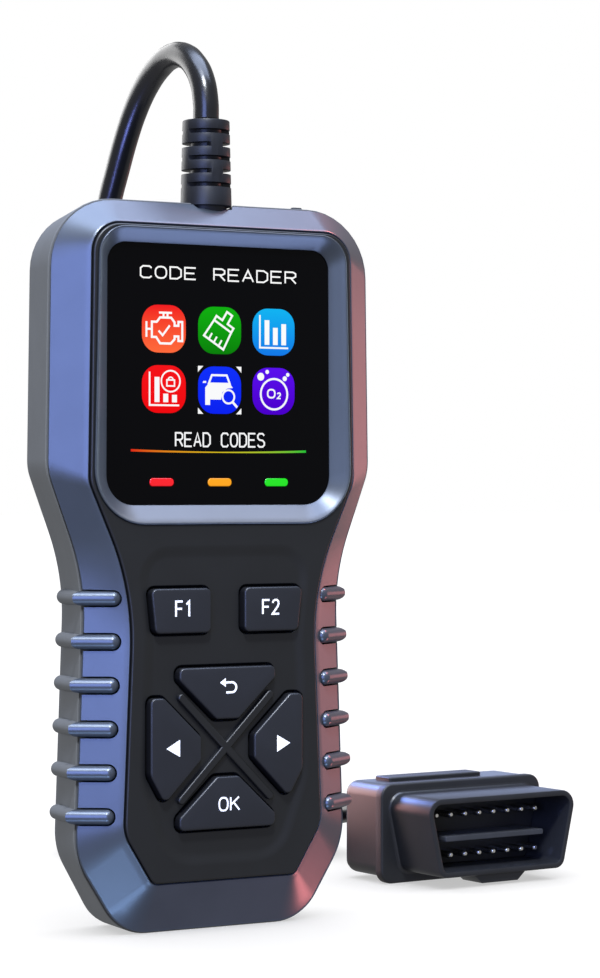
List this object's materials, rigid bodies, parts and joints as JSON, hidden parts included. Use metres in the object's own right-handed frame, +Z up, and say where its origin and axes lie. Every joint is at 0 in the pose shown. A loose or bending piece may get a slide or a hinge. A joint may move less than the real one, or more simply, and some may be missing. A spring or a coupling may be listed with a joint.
{
  "type": "obd code reader",
  "caption": "Handheld vehicle diagnostic code reader with a colour screen, press keys, ribbed grip, and a cable to a sixteen-way diagnostic plug.",
  "frame": {"origin": "middle of the reader's footprint, on the surface that its foot stands on", "axes": "+Z up along the reader, -Y out of its screen and keys, +X to the right of someone facing the screen"},
  "size_m": [0.1442, 0.1478, 0.1811],
  "materials": {
    "front_case": "satin, metal-flake look",
    "back_case": "matt",
    "panel": "satin",
    "bezel": "satin",
    "lens": "polished",
    "display": "smooth",
    "backlight": "smooth",
    "light_red": "clear, lit",
    "light_amber": "clear, lit",
    "light_green": "clear, lit",
    "board": "solder mask",
    "chip": "moulded",
    "ceramic_white": "moulded",
    "steel": "plated",
    "grey_silicone": "matt",
    "key": "satin",
    "black_rubber": "matt",
    "cable_jacket": "smooth, slightly glossy",
    "tie_fabric": "woven",
    "plug_case": "satin",
    "plug_block": "matt",
    "contact": "polished",
    "legend": "printed",
    "picture": "lit screen picture"
  },
  "bodies": {
    "reader": {"front_shell": "front_case", "back_shell": "back_case", "face_panel": "panel", "screen_bezel": "bezel", "screen_lens": "lens", "display_module": "display", "backlight": "backlight", "light_guide_red": "light_red", "light_guide_amber": "light_amber", "light_guide_green": "light_green", "main_board": "board", "chips": "chip", "buzzer": "chip", "indicator_leds": "ceramic_white", "key_switches": "steel", "key_mat": "grey_silicone", "board_screws": "steel", "case_screws": "steel", "port": "steel", "cable_header": "ceramic_white", "strain_relief": "black_rubber", "cable_upper": "cable_jacket", "cable_coil": "cable_jacket", "cable_lower": "cable_jacket", "coil_tie": "tie_fabric", "plug_front": "plug_case", "plug_rear": "plug_case", "plug_contact_block": "plug_block", "plug_contacts": "contact", "plug_board": "board", "plug_relief": "black_rubber", "plug_plate": "plug_case", "plug_screws": "steel"},
    "f1_key": {"key_f1": "key"},
    "f2_key": {"key_f2": "key"},
    "back_key": {"key_back": "key"},
    "ok_key": {"key_ok": "key"},
    "left_key": {"key_left": "key"},
    "right_key": {"key_right": "key"},
    "cover": {"port_cover": "black_rubber"}
  },
  "joints": [
    {"name": "f1_key_press", "type": "slide", "parent": "reader", "child": "f1_key", "axis": [0, 1, 0], "range_m": [0, 0.001], "stiffness_N_per_m": 1500},
    {"name": "f2_key_press", "type": "slide", "parent": "reader", "child": "f2_key", "axis": [0, 1, 0], "range_m": [0, 0.001], "stiffness_N_per_m": 1500},
    {"name": "back_key_press", "type": "slide", "parent": "reader", "child": "back_key", "axis": [0, 1, 0], "range_m": [0, 0.001], "stiffness_N_per_m": 1500},
    {"name": "ok_key_press", "type": "slide", "parent": "reader", "child": "ok_key", "axis": [0, 1, 0], "range_m": [0, 0.001], "stiffness_N_per_m": 1500},
    {"name": "left_key_press", "type": "slide", "parent": "reader", "child": "left_key", "axis": [0, 1, 0], "range_m": [0, 0.001], "stiffness_N_per_m": 1500},
    {"name": "right_key_press", "type": "slide", "parent": "reader", "child": "right_key", "axis": [0, 1, 0], "range_m": [0, 0.001], "stiffness_N_per_m": 1500},
    {"name": "cover_pull", "type": "slide", "parent": "reader", "child": "cover", "axis": [0, 0, 1], "range_m": [0, 0.006]}
  ]
}
